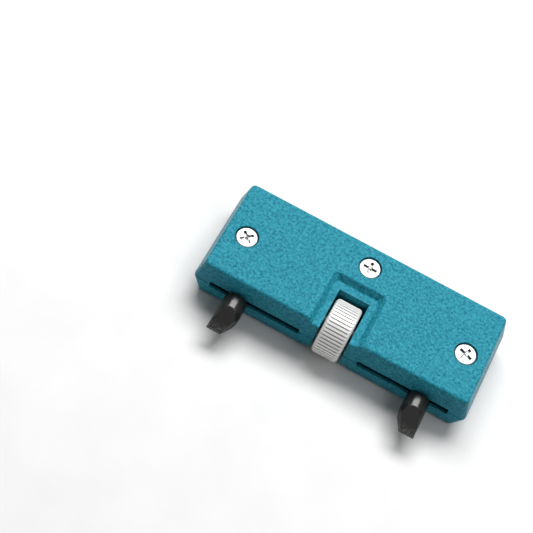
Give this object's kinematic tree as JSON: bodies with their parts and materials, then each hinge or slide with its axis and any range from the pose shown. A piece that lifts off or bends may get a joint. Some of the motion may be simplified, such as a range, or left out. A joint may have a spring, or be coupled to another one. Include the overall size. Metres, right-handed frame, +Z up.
{
  "type": "case back opener",
  "caption": "Adjustable watch case back opener: plastic case with a knurled thumbwheel whose left and right handed lead screw moves two steel jaws together or apart.",
  "frame": {"origin": "middle of the opener's footprint, jaws included, on the surface that the case lies on", "axes": "+X along the case and the lead screw, +Y away from the jaws towards the back of the case, +Z up from the flat underside to the face with the screws"},
  "size_m": [0.0768, 0.0386, 0.0149],
  "materials": {
    "case_plastic": "finely textured teal moulding",
    "wheel_steel": "bright plated, straight knurled",
    "screw_steel": "bright zinc plated",
    "plain_steel": "turned, lightly oiled",
    "carriage_steel": "dark milled steel",
    "bush_brass": "turned",
    "black_steel": "black oxide, ground flats"
  },
  "bodies": {
    "case": {"upper_housing": "case_plastic", "lower_housing": "case_plastic", "housing_screw_left": "screw_steel", "housing_screw_right": "screw_steel", "housing_screw_rear": "screw_steel", "bearing_bush_left": "bush_brass", "bearing_bush_right": "bush_brass", "end_bush_left": "bush_brass", "end_bush_right": "bush_brass", "thrust_washer_left": "plain_steel", "thrust_washer_right": "plain_steel"},
    "drive": {"thumbwheel": "wheel_steel", "lead_screw": "plain_steel", "thumbwheel_key": "plain_steel"},
    "left_jaw": {"jaw_carriage_left": "carriage_steel", "jaw_pin_left": "black_steel", "jaw_clamp_screw_left": "black_steel"},
    "right_jaw": {"jaw_carriage_right": "carriage_steel", "jaw_pin_right": "black_steel", "jaw_clamp_screw_right": "black_steel"}
  },
  "joints": [
    {"name": "thumbwheel_turn", "type": "hinge", "parent": "case", "child": "drive", "pos_m": [0, -0.00365, 0.0075], "axis": [1, 0, 0], "range_deg": [-1650, 4440]},
    {"name": "left_jaw_slide", "type": "slide", "parent": "case", "child": "left_jaw", "axis": [1, 0, 0], "range_m": [-0.00575, 0.01545]},
    {"name": "right_jaw_slide", "type": "slide", "parent": "case", "child": "right_jaw", "axis": [1, 0, 0], "range_m": [-0.01545, 0.00575]}
  ],
  "couplings": [
    {"joint": "left_jaw_slide", "follows": "thumbwheel_turn", "m_per_rad": 0.00019894},
    {"joint": "right_jaw_slide", "follows": "thumbwheel_turn", "m_per_rad": -0.00019894}
  ]
}
